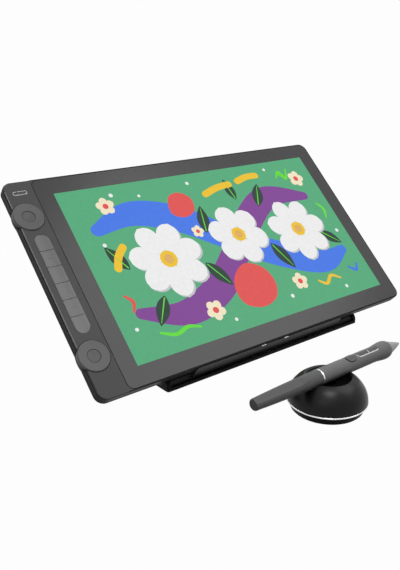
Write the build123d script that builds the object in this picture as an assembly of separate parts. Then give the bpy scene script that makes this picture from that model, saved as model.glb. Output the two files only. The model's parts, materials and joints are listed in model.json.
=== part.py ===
from build123d import *
import os
from math import cos, pi, radians, sin, sqrt

# Pen display on a folding stand, with its pen and a domed pen holder. Millimetres.
# +X is right, +Y away from the user, +Z up. The origin lies on the desk, midway along the
# stand and straight below the axis of its front hinge.

# Clearances
run_gap = 0.08      # a shaft that turns in its bore
slip_gap = 0.15     # a button or key in its slot
free_gap = 0.3      # pieces that pass each other
seam_gap = 0.12     # the joint line between two fixed covers
overrun = 2.0       # how far a cutter stands out of what it cuts

# Screen and face of the tablet
screen_width = 349.6
screen_height = 196.7
margin_left = 18.5
margin_right = 21.2
margin_top = 19.7
margin_bottom = 20.0
key_panel_width = 30.5
key_panel_step = 0.6
face_corner = 9.5
glass_corner = 7.0
rim_width = 1.2
rim_chamfer = 0.4

# Tablet in depth, from the face down
glass_thickness = 1.1
key_panel_thickness = 1.6
key_panel_chamfer = 0.8
frame_depth = 4.0
wall_depth = 9.5
tablet_thickness = 12.5
back_inset = 7.0
shell_wall = 2.2
floor_thickness = 1.6
deck_thickness = 1.4
glass_ledge = 3.2
ledge_thickness = 1.2
bay_lip = 3.0
deep_inset = 9.0

# Dials
dial_radius = 15.5
dial_x = -36.0
dial_upper_y = 174.8
dial_lower_y = 22.0
dial_rise = 1.0
dial_bottom = 3.3
dial_chamfer = 0.7
dial_hollow = 0.5
dial_hollow_radius = 14.0
dial_grip_radius = 0.35
dial_grip_count = 48
dial_button_radius = 6.3
dial_button_rise = 0.35
dial_button_depth = 0.9
dial_button_travel = 0.5
dial_button_round = 0.3
dial_button_dish = 0.3
dial_dish_radius = 4.4
dial_stem_radius = 2.2
encoder_flange = 2.6
encoder_flange_thickness = 0.5
well_gap = 0.45
deck_margin = 1.2
turret_wall = 2.0
bulge_depth = 2.0
bulge_half_length = 11.0
bulge_draft = 12.0
bulge_blend = 6.0

# Keys
key_slot_x = -33.7
key_slot_low = 45.5
key_width = 15.0
key_length = 17.98
key_count = 6
key_gap = 0.45
key_rise = 0.35
key_dish_sag = 0.75
key_flange = 0.7
key_flange_thickness = 0.8
key_stem_radius = 2.0
key_stem_length = 0.35
key_travel = 0.7
key_tick_length = 5.0
key_tick_width = 0.7
key_tick_height = 0.25
ticked_keys = (1, 4)
mat_thickness = 0.4
nub_radius = 2.0
nub_gap = 0.1
board_thickness = 1.3
board_margin = 1.2
post_radius = 2.0

# Power button
power_x = -33.5
power_y = 202.7
power_length = 14.9
power_width = 4.4
power_ring_width = 0.5
power_sink = 0.15
power_flange = 0.6
power_flange_thickness = 0.7
power_travel = 0.5
power_board_length = 22.0
power_board_width = 7.0
switch_radius = 1.4

# Display stack and boards
panel_thickness = 2.8
panel_margin = 4.0
digitizer_thickness = 0.8
digitizer_margin = 8.0
chassis_thickness = 0.8
chassis_margin = 11.0
bush_radius = 2.8
bush_edge = 10.5
screw_radius = 1.1
screw_head_radius = 2.3
screw_head_height = 0.9
screw_length = 6.0
main_board_left = 30.0
main_board_width = 120.0
main_board_height = 54.0
main_board_thickness = 1.2
main_board_rise = 0.7
chip_count = 2
chip_size = 14.0
chip_height = 1.4
port_left = 44.0
port_pitch = 22.0
port_width = 8.94
port_height = 3.26
port_length = 11.0
port_wall = 0.32
port_recess = 0.4
foot_strip_width = 8.0
foot_strip_length = 50.0
foot_strip_height = 1.0
foot_strip_edge = 24.0

# Stand: hinge and tilting back plate
tilt_angle = 43.5
hinge_height = 5.3
barrel_radius = 3.0
barrel_groove = 0.5
barrel_groove_angle = 123.0
pin_radius = 1.3
pin_length = 17.5
plate_side_step = 6.0
plate_length = 195.0
plate_front = 4.2
plate_skin = 1.7
skirt_depth = 2.0
plate_corner = 12.0
plate_rim = 3.0
plate_rib = 2.4
plate_chamfer = 0.8
pad_thickness = 0.8
pad_width = 16.0
pad_edge = 14.0
ledge_offset = 1.2
lip_half_width = 104.0
lip_height = 15.8
lip_top = 1.1
lip_round = 4.0
bumper_spacing = 32.4
bumper_length = 6.0
bumper_drop = 1.3
bumper_rise = 0.25

# Stand: prop leg
prop_reach = 88.0
leg_half_width = 60.0
leg_thickness = 4.0
leg_web = 1.6
leg_swing_room = 1.9
leg_rib = 3.0
leg_pin_radius = 1.0
leg_pin_seat = 4.0
foot_bar_radius = 1.1
foot_sleeve_radius = 2.2
foot_sleeve_length = 22.0

# Stand: base
base_half_width = 135.5
base_front = 6.6
base_length = 206.6
base_underside = 0.9
base_top = 2.8
bar_height = 4.0
bar_width = 1.3
side_rim = 3.0
base_front_corner = 2.5
base_rear_corner = 10.0
trough_gap = 0.4
trough_half_width = 3.8
post_width = 4.4
post_top = 10.3
post_head_radius = 2.2
post_head_back = -1.7
knuckle_radius = 2.4
rack_width = 12.0
rack_inset = 2.0
rack_depth = 1.4
rack_start = 80.0
rack_notches = 11
rack_pitch = 8.0
rack_notch_depth = 0.9
foot_length = 236.0
foot_front = 4.0
foot_width = 12.0
rear_foot_length = 44.0
rear_foot_edge = 8.0

# Pen
pen_left = -129.5
pen_roll = 12.5
pen_length = 192.3
tail_end_radius = 4.0
tail_round_length = 3.4
tail_radius = 5.4
tail_stations = (20.0, 40.0, 60.0)
tail_station_radii = (6.08, 6.68, 7.12)
barrel_back_radius = 7.4
band_start = 77.0
band_width = 1.3
band_proud = 0.04
grip_start = 140.0
grip_start_radius = 7.45
grip_mid = 153.5
grip_mid_radius = 7.55
flare_position = 166.5
flare_radius = 8.75
barrel_end = 172.0
barrel_end_radius = 7.6
cone_base_radius = 6.9
cone_end = 190.5
cone_tip_radius = 1.4
cone_slope_base = 0.26
cone_slope_tip = 0.36
nib_radius = 0.8
nib_length = 13.5
nib_tip_radius = 0.2
nib_socket_radius = 1.8
nib_socket_depth = 1.6
travel_room = 1.0
pen_wall = 1.6
core_radius = 4.6
core_start = 63.0
flat_turn = 16.0
flat_start_height = 4.5
flat_end_height = 5.95
flat_length = 60.0
flat_ramp = 8.0
rocker_middle = 141.5
rocker_length = 27.6
rocker_width = 4.6
outline_width = 0.9
outline_reach = 13.0
outline_arm = 0.4
tick_width = 0.9
tick_arm = 0.2
tick_depth = 0.4
third_middle = 118.2
third_length = 11.6
third_width = 8.2
button_proud = 0.35
third_proud = 0.8
outline_proud = 0.15

# Pen holder
holder_x = -38.4
holder_y = -115.8
dome_radius = 36.1
dome_start = 9.0
dome_height = 36.9
dish_radius = 21.0
dish_edge_round = 1.3
hole_radius = 7.0
hole_round = 1.5
hole_depth = 13.0
dish_floor = 26.2
groove_gap = 0.06
pen_above_rim = 2.05
nib_room_inner = 10.5
nib_room_outer = 28.9
nib_room_roof = 19.0
sleeve_floor = 1.6
ring_height = 1.3
ring_radius = 36.4
ring_depth = 3.4
holder_top_radius = 34.9
holder_bottom_radius = 32.6
holder_wall = 2.4
spigot_height = 3.4
spigot_wall = 1.6
holder_pad_radius = 31.4
holder_pad_height = 1.2
tray_inner = 11.5
tray_height = 5.0
spare_nib_count = 8
spare_nib_ring = 19.0

# Sizes that follow from those above
panel_left = -margin_left
face_left = panel_left - key_panel_width
face_right = screen_width + margin_right
face_low = -margin_bottom
face_high = screen_height + margin_top
face_width = face_right - face_left
face_height = face_high - face_low
face_mid_x = (face_left + face_right) / 2
face_mid_y = (face_low + face_high) / 2
glass_left = panel_left + seam_gap
glass_inset = rim_width + seam_gap
plate_half_width = base_half_width - plate_side_step
floor_top = tablet_thickness - floor_thickness
step_depth = wall_depth - free_gap
panel_back = glass_thickness + panel_thickness
digitizer_back = panel_back + digitizer_thickness
chassis_back = digitizer_back + chassis_thickness
key_slot_high = key_slot_low + key_count * key_length
key_slot_mid = (key_slot_low + key_slot_high) / 2
key_flange_bottom = key_panel_thickness + key_flange_thickness
key_stem_bottom = key_flange_bottom + key_stem_length
dial_places = {"upper": dial_upper_y, "lower": dial_lower_y}
dial_bore = dial_button_radius + slip_gap + free_gap / 2
plate_seat = plate_front + pad_thickness
face_level = plate_seat + tablet_thickness
barrel_half = base_half_width - post_width - free_gap
barrel_start = band_start + band_width
pen_bore = barrel_back_radius - pen_wall
holder_centre = Pos(holder_x, holder_y, 0)
dome_rise = dome_height - dome_start
pen_height = dome_start + dome_rise * sqrt(1 - (dish_radius / dome_radius) ** 2) + pen_above_rim


# Shared shapes and places

def block(x0, x1, y0, y1, z0, z1):
    return Pos(x0, y0, z0) * Box(x1 - x0, y1 - y0, z1 - z0, align=(Align.MIN, Align.MIN, Align.MIN))


def disc(x, y, z0, z1, radius):
    return Pos(x, y, z0) * Cylinder(radius, z1 - z0, align=(Align.CENTER, Align.CENTER, Align.MIN))


def rod(x0, x1, y, z, radius):
    bar = Cylinder(radius, x1 - x0, align=(Align.CENTER, Align.CENTER, Align.MIN))
    return Pos(x0, y, z) * Rot(0, 90, 0) * bar


def slab(outline, z0, z1):
    return extrude(Pos(0, 0, z0) * outline, z1 - z0)


def stadium(x, y, length, width, angle=0):
    return Pos(x, y) * Rot(0, 0, angle) * SlotOverall(length, width)


def prism_x(points, half_width):
    profile = make_face(Polyline(*[(0, y, z) for y, z in points], close=True))
    return extrude(profile, half_width, dir=(1, 0, 0), both=True)


on_hinge = Pos(0, 0, hinge_height)
on_plate = on_hinge * Rot(tilt_angle, 0, 0)
on_tablet = on_plate * Pos(-face_mid_x, ledge_offset + margin_bottom, face_level)
on_leg = on_plate * Pos(0, prop_reach, 0) * Rot(-2 * tilt_angle, 0, 0)
on_pen = Pos(pen_left, holder_y, pen_height) * Rot(pen_roll, 0, 0)

nodes = {}


def keep(name, place, shape):
    nodes[name] = place * shape


# Tablet housing

def face_outline(inset, corner):
    width = face_width - 2 * inset
    height = face_height - 2 * inset
    return Pos(face_mid_x, face_mid_y) * RectangleRounded(width, height, corner)


def glass_outline(growth):
    left = glass_left - growth
    right = face_right - glass_inset + growth
    height = face_height - 2 * glass_inset + 2 * growth
    corner = glass_corner - seam_gap + growth
    return Pos((left + right) / 2, face_mid_y) * RectangleRounded(right - left, height, corner)


def right_of(x):
    return block(x, face_right + overrun, face_low - overrun, face_high + overrun,
                 -tablet_thickness - overrun, overrun)


def bulge(y):
    radius = (bulge_half_length ** 2 + bulge_depth ** 2) / (2 * bulge_depth)
    round_part = Pos(face_left - bulge_depth + radius, y) * Circle(radius)
    band = Pos(face_left, y) * Rectangle(2 * bulge_blend, 2 * (bulge_half_length + bulge_blend))
    nose = extrude(Pos(0, 0, -frame_depth) * (round_part & band), -(wall_depth - frame_depth),
                   taper=bulge_draft)
    return nose


def housing_solid():
    wall = slab(face_outline(0, face_corner), -wall_depth, -frame_depth)
    upper = Pos(0, 0, -wall_depth) * face_outline(0, face_corner)
    lower = Pos(0, 0, -tablet_thickness) * face_outline(back_inset, face_corner - back_inset / 2)
    body = wall + loft([upper, lower])
    for y in dial_places.values():
        body += bulge(y)
    return body


def bush_places():
    for x in (bush_edge, screen_width / 2, screen_width - bush_edge):
        for y in (bush_edge, screen_height / 2, screen_height - bush_edge):
            yield x, y


def port_places():
    for index in range(2):
        yield port_left + index * port_pitch


def key_post_places():
    reach = (key_slot_high - key_slot_low) / 2 - key_width / 2
    for y in (key_slot_mid - reach, key_slot_mid, key_slot_mid + reach):
        yield key_slot_x, y


def board_post_places():
    inset = 2 * post_radius
    top = face_high - shell_wall - deep_inset
    for x in (main_board_left + inset, main_board_left + main_board_width - inset):
        for y in (top - main_board_height + inset, top - inset):
            yield x, y


key_board_top = frame_depth + mat_thickness
key_board_back = key_board_top + board_thickness
main_board_back = floor_top - main_board_rise
main_board_front = main_board_back - main_board_thickness
main_board_high = face_high - shell_wall - deep_inset
port_middle = main_board_front - port_height / 2


def rear_cover():
    body = housing_solid()
    shallow = slab(face_outline(shell_wall, face_corner - shell_wall), -step_depth, overrun - frame_depth)
    deep = slab(face_outline(deep_inset, face_corner / 2), -floor_top, -frame_depth)
    cover = body - shallow - deep
    for y in dial_places.values():
        deck_radius = dial_radius + well_gap + deck_margin
        deck = disc(dial_x, y, -frame_depth - deck_thickness, -frame_depth, deck_radius) & body
        turret = disc(dial_x, y, -floor_top, -frame_depth - deck_thickness / 2,
                      dial_stem_radius + free_gap + 2 * turret_wall)
        cover += deck
        cover += turret
        cover -= disc(dial_x, y, -floor_top, -frame_depth + overrun, dial_stem_radius + free_gap)
    for x, y in key_post_places():
        cover += disc(x, y, -floor_top, -key_board_back, post_radius)
    for x, y in board_post_places():
        cover += disc(x, y, -floor_top, -main_board_back, post_radius)
    cover += disc(power_x, power_y, -floor_top - floor_thickness / 2, -key_board_back, post_radius)
    for x in port_places():
        mouth = Rot(90, 0, 0) * stadium(0, 0, port_width + 2 * slip_gap, port_height + 2 * slip_gap)
        cover -= extrude(Pos(x, face_high + overrun, -port_middle) * mouth,
                         shell_wall + 2 * overrun, dir=(0, -1, 0))
    for x, y in bush_places():
        cover -= disc(x, y, -tablet_thickness - overrun, -floor_top + overrun, screw_radius)
        cover -= disc(x, y, -tablet_thickness - overrun, -tablet_thickness + screw_head_height,
                      screw_head_radius)
    return cover


def front_frame():
    frame = slab(face_outline(0, face_corner), -frame_depth, 0)
    top = frame.edges().group_by(Axis.Z)[-1]
    frame = chamfer(top, rim_chamfer)
    beyond_seam = right_of(panel_left)
    frame -= slab(face_outline(-overrun, face_corner), -key_panel_thickness, overrun) - beyond_seam
    seat = slab(face_outline(rim_width, glass_corner), -glass_thickness, overrun)
    frame -= seat & beyond_seam
    inner = right_of(panel_left + bay_lip)
    window = slab(face_outline(rim_width + glass_ledge, glass_corner / 2), -frame_depth - overrun, overrun)
    frame -= window & inner
    under = slab(face_outline(shell_wall, face_corner - shell_wall), -frame_depth - overrun,
                 -glass_thickness - ledge_thickness)
    frame -= under & inner
    for y in dial_places.values():
        frame -= disc(dial_x, y, -frame_depth - overrun, overrun, dial_radius + well_gap)
    capsule_length = key_slot_high - key_slot_low
    room = 2 * (key_flange + free_gap)
    frame -= slab(stadium(key_slot_x, key_slot_mid, capsule_length + room, key_width + room, 90),
                  -frame_depth - overrun, overrun)
    room = 2 * (power_flange + free_gap)
    frame -= slab(stadium(power_x, power_y, power_length + room, power_width + room),
                  -frame_depth - overrun, overrun)
    return frame


def key_panel():
    left = face_left + key_panel_step
    outline = RectangleRounded(face_right - left, face_height, face_corner)
    plate = slab(Pos((left + face_right) / 2, face_mid_y) * outline, -key_panel_thickness, 0)
    plate = chamfer(plate.edges().group_by(Axis.Z)[-1], key_panel_chamfer)
    plate -= right_of(panel_left)
    corners = slab(face_outline(glass_inset, glass_corner - seam_gap), -glass_thickness, 0)
    corners &= right_of(panel_left - overrun) - right_of(panel_left + glass_corner)
    plate += corners
    plate -= slab(glass_outline(seam_gap), -frame_depth, overrun)
    for y in dial_places.values():
        plate -= disc(dial_x, y, -frame_depth, overrun, dial_radius + well_gap)
    room = 2 * slip_gap
    capsule_length = key_slot_high - key_slot_low
    plate -= slab(stadium(key_slot_x, key_slot_mid, capsule_length + room, key_width + room, 90),
                  -frame_depth, overrun)
    plate -= slab(stadium(power_x, power_y, power_length, power_width), -frame_depth, overrun)
    return plate


def cover_glass():
    return slab(glass_outline(0), -glass_thickness, 0)


# Tablet contents

def display_panel():
    return block(-panel_margin, screen_width + panel_margin, -panel_margin, screen_height + panel_margin,
                 -panel_back, -glass_thickness)


def digitizer_board():
    return block(-digitizer_margin, screen_width + digitizer_margin,
                 -digitizer_margin, screen_height + digitizer_margin, -digitizer_back, -panel_back)


def chassis_plate():
    plate = block(-chassis_margin, screen_width + chassis_margin,
                  -chassis_margin, screen_height + chassis_margin, -chassis_back, -digitizer_back)
    for x, y in bush_places():
        plate += disc(x, y, -floor_top, -chassis_back, bush_radius)
        plate -= disc(x, y, -floor_top - overrun, -chassis_back, screw_radius)
    return plate


def case_screws():
    screws = []
    head_low = -tablet_thickness
    for x, y in bush_places():
        head = disc(x, y, head_low, head_low + screw_head_height, screw_head_radius)
        shaft = disc(x, y, head_low, head_low + screw_length, screw_radius)
        recess = disc(x, y, head_low - overrun, head_low + screw_head_height / 2, screw_radius / 2)
        screws.append(head + shaft - recess)
    return Compound(children=screws)


def main_board():
    low = main_board_high - main_board_height
    right = main_board_left + main_board_width
    board = block(main_board_left, right, low, main_board_high, -main_board_back, -main_board_front)
    for index in range(chip_count):
        x = main_board_left + (index + 1) * main_board_width / (chip_count + 1)
        y = low + main_board_height / 3
        chip = Pos(x, y, -main_board_front) * Box(chip_size, chip_size, chip_height,
                                                 align=(Align.CENTER, Align.CENTER, Align.MIN))
        board += chip
    return board


def usb_ports():
    ports = []
    back = face_high - port_recess
    for x in port_places():
        upright = Pos(x, back, -port_middle) * Rot(90, 0, 0)
        shell = extrude(upright * stadium(0, 0, port_width, port_height), port_length)
        inner = stadium(0, 0, port_width - 2 * port_wall, port_height - 2 * port_wall)
        cavity = extrude(upright * inner, port_length - 2 * port_wall)
        tongue = Pos(x, back - port_length + port_wall, -port_middle) * Box(
            port_width - 4 * port_wall - port_height / 2, port_length - 4 * port_wall, 2 * port_wall,
            align=(Align.CENTER, Align.MIN, Align.CENTER))
        ports.append(shell - cavity + tongue)
    return Compound(children=ports)


def key_board():
    half_width = key_width / 2 + board_margin
    low = key_slot_low - board_margin
    high = key_slot_high + board_margin
    return block(key_slot_x - half_width, key_slot_x + half_width, low, high,
                 -key_board_back, -key_board_top)


def key_middle(index):
    return key_slot_low + (index + 0.5) * key_length


def key_mat():
    half_width = key_width / 2 + board_margin
    low = key_slot_low - board_margin
    high = key_slot_high + board_margin
    mat = block(key_slot_x - half_width, key_slot_x + half_width, low, high, -key_board_top, -frame_depth)
    nub_top = key_stem_bottom + key_travel + nub_gap
    for index in range(key_count):
        mat += disc(key_slot_x, key_middle(index), -frame_depth - mat_thickness / 2, -nub_top, nub_radius)
    return mat


def key(index):
    capsule_length = key_slot_high - key_slot_low
    capsule = stadium(key_slot_x, key_slot_mid, capsule_length, key_width, 90)
    body = slab(capsule, -key_flange_bottom, key_rise)
    room = 2 * key_flange
    body += slab(stadium(key_slot_x, key_slot_mid, capsule_length + room, key_width + room, 90),
                 -key_flange_bottom, -key_panel_thickness)
    half_chord = key_width / 2
    dish_radius_here = (half_chord ** 2 + key_dish_sag ** 2) / (2 * key_dish_sag)
    dish_length = capsule_length + 2 * overrun
    dish = Pos(key_slot_x, key_slot_mid, key_rise - key_dish_sag + dish_radius_here) * Rot(90, 0, 0)
    body -= dish * Cylinder(dish_radius_here, dish_length)
    middle = key_middle(index)
    reach_low = key_length / 2 - key_gap / 2
    reach_high = reach_low
    if index == 0:
        reach_low += key_flange + overrun
    if index == key_count - 1:
        reach_high += key_flange + overrun
    wide = key_width / 2 + key_flange + overrun
    piece = body & block(key_slot_x - wide, key_slot_x + wide, middle - reach_low, middle + reach_high,
                         -key_flange_bottom - overrun, key_rise + overrun)
    piece += disc(key_slot_x, middle, -key_stem_bottom, -key_flange_bottom, key_stem_radius)
    if index in ticked_keys:
        low = key_rise - key_dish_sag
        bar = stadium(key_slot_x, middle, key_tick_length, key_tick_width)
        piece += slab(bar, low - key_tick_height, low + key_tick_height)
    return piece


def dial(y):
    ring = disc(dial_x, y, -dial_bottom, dial_rise, dial_radius)
    ring = chamfer(ring.edges().group_by(Axis.Z)[-1], dial_chamfer)
    ball = (dial_hollow_radius ** 2 + dial_hollow ** 2) / (2 * dial_hollow)
    ring -= Pos(dial_x, y, dial_rise - dial_hollow + ball) * Sphere(ball)
    grip_ring = dial_radius + dial_grip_radius / 2
    grip_top = dial_rise - dial_chamfer - dial_grip_radius
    for index in range(dial_grip_count):
        angle = 2 * pi * index / dial_grip_count
        ring -= disc(dial_x + grip_ring * cos(angle), y + grip_ring * sin(angle),
                     -dial_bottom - overrun, grip_top, dial_grip_radius)
    return ring - disc(dial_x, y, -dial_bottom - overrun, dial_rise + overrun, dial_bore)


def dial_button(y):
    cap = disc(dial_x, y, -dial_button_depth, dial_button_rise, dial_button_radius)
    cap = fillet(cap.edges().group_by(Axis.Z)[-1], dial_button_round)
    ball = (dial_dish_radius ** 2 + dial_button_dish ** 2) / (2 * dial_button_dish)
    cap -= Pos(dial_x, y, dial_button_rise - dial_button_dish + ball) * Sphere(ball)
    return cap + disc(dial_x, y, -key_board_back, -dial_button_depth, dial_stem_radius)


def encoder(y):
    collar_top = dial_button_depth + dial_button_travel + 2 * slip_gap
    collar = disc(dial_x, y, -frame_depth, -collar_top, dial_bore - run_gap)
    collar += disc(dial_x, y, -frame_depth, -frame_depth + encoder_flange_thickness,
                   dial_bore + encoder_flange)
    return collar - disc(dial_x, y, -frame_depth - overrun, overrun, dial_stem_radius + run_gap)


def power_ring():
    outer = slab(stadium(power_x, power_y, power_length, power_width), -key_panel_thickness, slip_gap)
    outer = chamfer(outer.edges().group_by(Axis.Z)[-1], power_ring_width / 3)
    inner_length = power_length - 2 * power_ring_width
    inner_width = power_width - 2 * power_ring_width
    return outer - slab(stadium(power_x, power_y, inner_length, inner_width), -frame_depth, overrun)


def power_button():
    inset = 2 * (power_ring_width + slip_gap)
    cap = slab(stadium(power_x, power_y, power_length - inset, power_width - inset),
               -key_panel_thickness - power_flange_thickness, -power_sink)
    room = 2 * power_flange
    cap += slab(stadium(power_x, power_y, power_length + room, power_width + room),
                -key_panel_thickness - power_flange_thickness, -key_panel_thickness)
    return cap


def power_switch():
    board = Pos(power_x, power_y, -key_board_back) * Box(
        power_board_length, power_board_width, key_board_back - frame_depth,
        align=(Align.CENTER, Align.CENTER, Align.MIN))
    top = key_panel_thickness + power_flange_thickness + power_travel + nub_gap
    return board + disc(power_x, power_y, -frame_depth - board_thickness / 2, -top, switch_radius)


def tablet_feet():
    feet = []
    x_places = (face_left + foot_strip_edge, face_right - foot_strip_edge)
    y_reach = face_height / 2 - foot_strip_edge - foot_strip_length / 2
    for x in x_places:
        for y in (face_mid_y - y_reach, face_mid_y + y_reach):
            strip = stadium(x, y, foot_strip_length, foot_strip_width, 90)
            feet.append(slab(strip, -tablet_thickness - foot_strip_height, -tablet_thickness))
    return Compound(children=feet)


keep("rear_cover", on_tablet, rear_cover())
keep("front_frame", on_tablet, front_frame())
keep("key_panel", on_tablet, key_panel())
keep("cover_glass", on_tablet, cover_glass())
keep("display_panel", on_tablet, display_panel())
keep("digitizer_board", on_tablet, digitizer_board())
keep("chassis_plate", on_tablet, chassis_plate())
keep("case_screws", on_tablet, case_screws())
keep("main_board", on_tablet, main_board())
keep("usb_ports", on_tablet, usb_ports())
keep("key_board", on_tablet, key_board())
keep("key_mat", on_tablet, key_mat())
for index in range(key_count):
    keep(f"key_{index + 1}", on_tablet, key(index))
for side, y in dial_places.items():
    keep(f"dial_{side}", on_tablet, dial(y))
    keep(f"dial_button_{side}", on_tablet, dial_button(y))
    keep(f"dial_encoder_{side}", on_tablet, encoder(y))
keep("power_ring", on_tablet, power_ring())
keep("power_button", on_tablet, power_button())
keep("power_switch", on_tablet, power_switch())
keep("tablet_feet", on_tablet, tablet_feet())


# Stand, in the back plate's own frame: x along the hinge, y up the plate, z out of its front

def pocket_rows(low, high, count, rib):
    depth = (high - low - (count - 1) * rib) / count
    for index in range(count):
        start = low + index * (depth + rib)
        yield start, start + depth


def back_plate():
    outline = Pos(0, plate_length / 2) * Rectangle(2 * plate_half_width, plate_length)
    outline = fillet(outline.vertices().group_by(Axis.Y)[-1], plate_corner)
    plate = slab(outline, -skirt_depth, plate_front)
    plate = chamfer(plate.edges().group_by(Axis.Z)[-1], plate_chamfer)
    inner = leg_half_width + leg_pin_seat
    leg_top = 2 * prop_reach + foot_sleeve_radius + 2 * free_gap
    roof = plate_front - plate_skin
    for sign in (-1, 1):
        near = sign * (inner + plate_rib)
        far = sign * (plate_half_width - plate_rim)
        for start, end in pocket_rows(plate_rim + barrel_radius, plate_length - plate_corner, 3, plate_rib):
            plate -= block(min(near, far), max(near, far), start, end, -skirt_depth - overrun, roof)
    leg_low = prop_reach - leg_thickness / 2 - leg_swing_room
    low_end = leg_low - plate_rim
    for start, end in pocket_rows(plate_rim + barrel_radius, low_end, 2, plate_rib):
        plate -= block(-inner, inner, start, end, -skirt_depth - overrun, roof)
    half = leg_half_width + free_gap
    plate -= block(-half, half, leg_low, leg_top, -skirt_depth - overrun, leg_thickness / 2 + free_gap)
    sleeve_reach = leg_half_width + foot_sleeve_length + free_gap
    sleeve_room = foot_sleeve_radius + 2 * free_gap
    plate -= block(-sleeve_reach, sleeve_reach, 2 * prop_reach - sleeve_room, leg_top,
                   -skirt_depth - overrun, foot_sleeve_radius + free_gap)
    plate += rod(-barrel_half, barrel_half, 0, 0, barrel_radius)
    lip_inner = ledge_offset - free_gap
    lip_outer = lip_inner - lip_top
    lip = prism_x([(-barrel_radius, 0), (lip_outer, lip_height), (lip_inner, lip_height), (lip_inner, 0)],
                  lip_half_width)
    ends = lip.edges().filter_by(Axis.Y).group_by(Axis.Z)[-1]
    lip = fillet(ends, lip_round)
    plate += lip
    for sign in (-1, 1):
        x = sign * bumper_spacing / 2
        plate -= block(x - bumper_length / 2, x + bumper_length / 2, lip_outer - overrun,
                       lip_inner + overrun, lip_height - bumper_drop, lip_height + overrun)
        groove_from = sign * (lip_half_width + plate_rim)
        groove_to = sign * (barrel_half - plate_rim)
        plate -= rod(min(groove_from, groove_to), max(groove_from, groove_to),
                     barrel_radius * cos(radians(barrel_groove_angle)),
                     barrel_radius * sin(radians(barrel_groove_angle)), barrel_groove)
        start = sign * (base_half_width - pin_length - free_gap)
        end = sign * (barrel_half + overrun)
        plate -= rod(min(start, end), max(start, end), 0, 0, pin_radius + run_gap)
    plate -= rod(-inner, inner, prop_reach, 0, leg_pin_radius)
    return plate


def lip_bumpers():
    pieces = []
    lip_inner = ledge_offset - free_gap
    for sign in (-1, 1):
        x = sign * bumper_spacing / 2
        piece = block(x - bumper_length / 2, x + bumper_length / 2, lip_inner - lip_top, lip_inner,
                      lip_height - bumper_drop, lip_height + bumper_rise)
        top = piece.edges().group_by(Axis.Z)[-1]
        pieces.append(fillet(top, bumper_rise))
    return Compound(children=pieces)


def plate_pads():
    pads = []
    height = plate_length - 3 * pad_edge
    for sign in (-1, 1):
        x = sign * (plate_half_width - pad_edge - pad_width / 2)
        pads.append(slab(stadium(x, pad_edge + height / 2, height, pad_width, 90), plate_front, plate_seat))
    return Compound(children=pads)


def prop_leg():
    half = leg_thickness / 2
    leg = block(-leg_half_width, leg_half_width, 0, prop_reach, -half, half)
    leg += rod(-leg_half_width, leg_half_width, 0, 0, half)
    leg += rod(-leg_half_width, leg_half_width, prop_reach, 0, half)
    columns = 3
    width = (2 * leg_half_width - (columns + 1) * leg_rib) / columns
    for index in range(columns):
        x = -leg_half_width + leg_rib + index * (width + leg_rib)
        for start, end in pocket_rows(half + leg_rib, prop_reach - half - leg_rib, 2, leg_rib):
            leg -= block(x, x + width, start, end, -half - overrun, half - leg_web)
    leg -= rod(-leg_half_width - overrun, leg_half_width + overrun, 0, 0, leg_pin_radius + run_gap)
    return leg - rod(-leg_half_width - overrun, leg_half_width + overrun, prop_reach, 0, foot_bar_radius)


def prop_pin():
    reach = leg_half_width + leg_pin_seat
    return rod(-reach, reach, prop_reach, 0, leg_pin_radius)


def prop_foot():
    reach = leg_half_width + foot_sleeve_length
    bar = rod(-reach + free_gap, reach - free_gap, prop_reach, 0, foot_bar_radius)
    for sign in (-1, 1):
        ends = sorted((sign * (leg_half_width + free_gap), sign * reach))
        sleeve = rod(ends[0], ends[1], prop_reach, 0, foot_sleeve_radius)
        bar += fillet(sleeve.edges().filter_by(GeomType.CIRCLE), free_gap)
    return bar


# Stand base, in the part's own frame

def base_outline(inset):
    width = 2 * (base_half_width - inset)
    height = base_length - 2 * inset
    outline = Pos(0, base_length / 2 - base_front) * Rectangle(width, height)
    rows = outline.vertices().group_by(Axis.Y)
    outline = fillet(rows[-1], base_rear_corner - inset)
    return fillet(outline.vertices().group_by(Axis.Y)[0], base_front_corner)


def rack_places():
    inner = leg_half_width + foot_sleeve_length - rack_inset - rack_width
    return (-inner - rack_width, -inner), (inner, inner + rack_width)


def rack_end():
    return rack_start + (rack_notches + 1) * rack_pitch


def post():
    knuckle = Pos(0, hinge_height) * Circle(knuckle_radius)
    heel = Pos(-base_front, base_underside) * Rectangle(
        base_front + knuckle_radius, bar_height - base_underside, align=(Align.MIN, Align.MIN))
    head = Pos(post_head_back, post_top - post_head_radius) * Circle(post_head_radius)
    profile = make_hull(knuckle.edges() + heel.edges() + head.edges())
    upright = Plane(origin=(0, 0, 0), x_dir=(0, 1, 0), z_dir=(1, 0, 0))
    return extrude(upright * profile, post_width)


def base_plate():
    tray = slab(base_outline(0), base_underside, bar_height)
    hollow = Rectangle(2 * (base_half_width - side_rim), base_length - bar_width - side_rim)
    hollow = Pos(0, (base_length + bar_width - side_rim) / 2 - base_front) * hollow
    tray -= slab(hollow, base_top, bar_height + overrun)
    side = base_half_width - post_width
    trough_floor = hinge_height - barrel_radius - trough_gap
    tray -= block(-side, side, -trough_half_width, trough_half_width, trough_floor, bar_height + overrun)
    for sign in (-1, 1):
        upright = Pos(min(sign * side, sign * base_half_width), 0, 0) * post()
        tray += upright & slab(base_outline(0), base_underside, post_top + overrun)
        ends = sorted((sign * (side - overrun), sign * (base_half_width - free_gap)))
        tray -= rod(ends[0], ends[1], 0, hinge_height, pin_radius)
    for low, high in rack_places():
        tray -= block(low, high, rack_start, rack_end(), base_top - rack_depth, base_top + overrun)
    return tray


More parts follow.
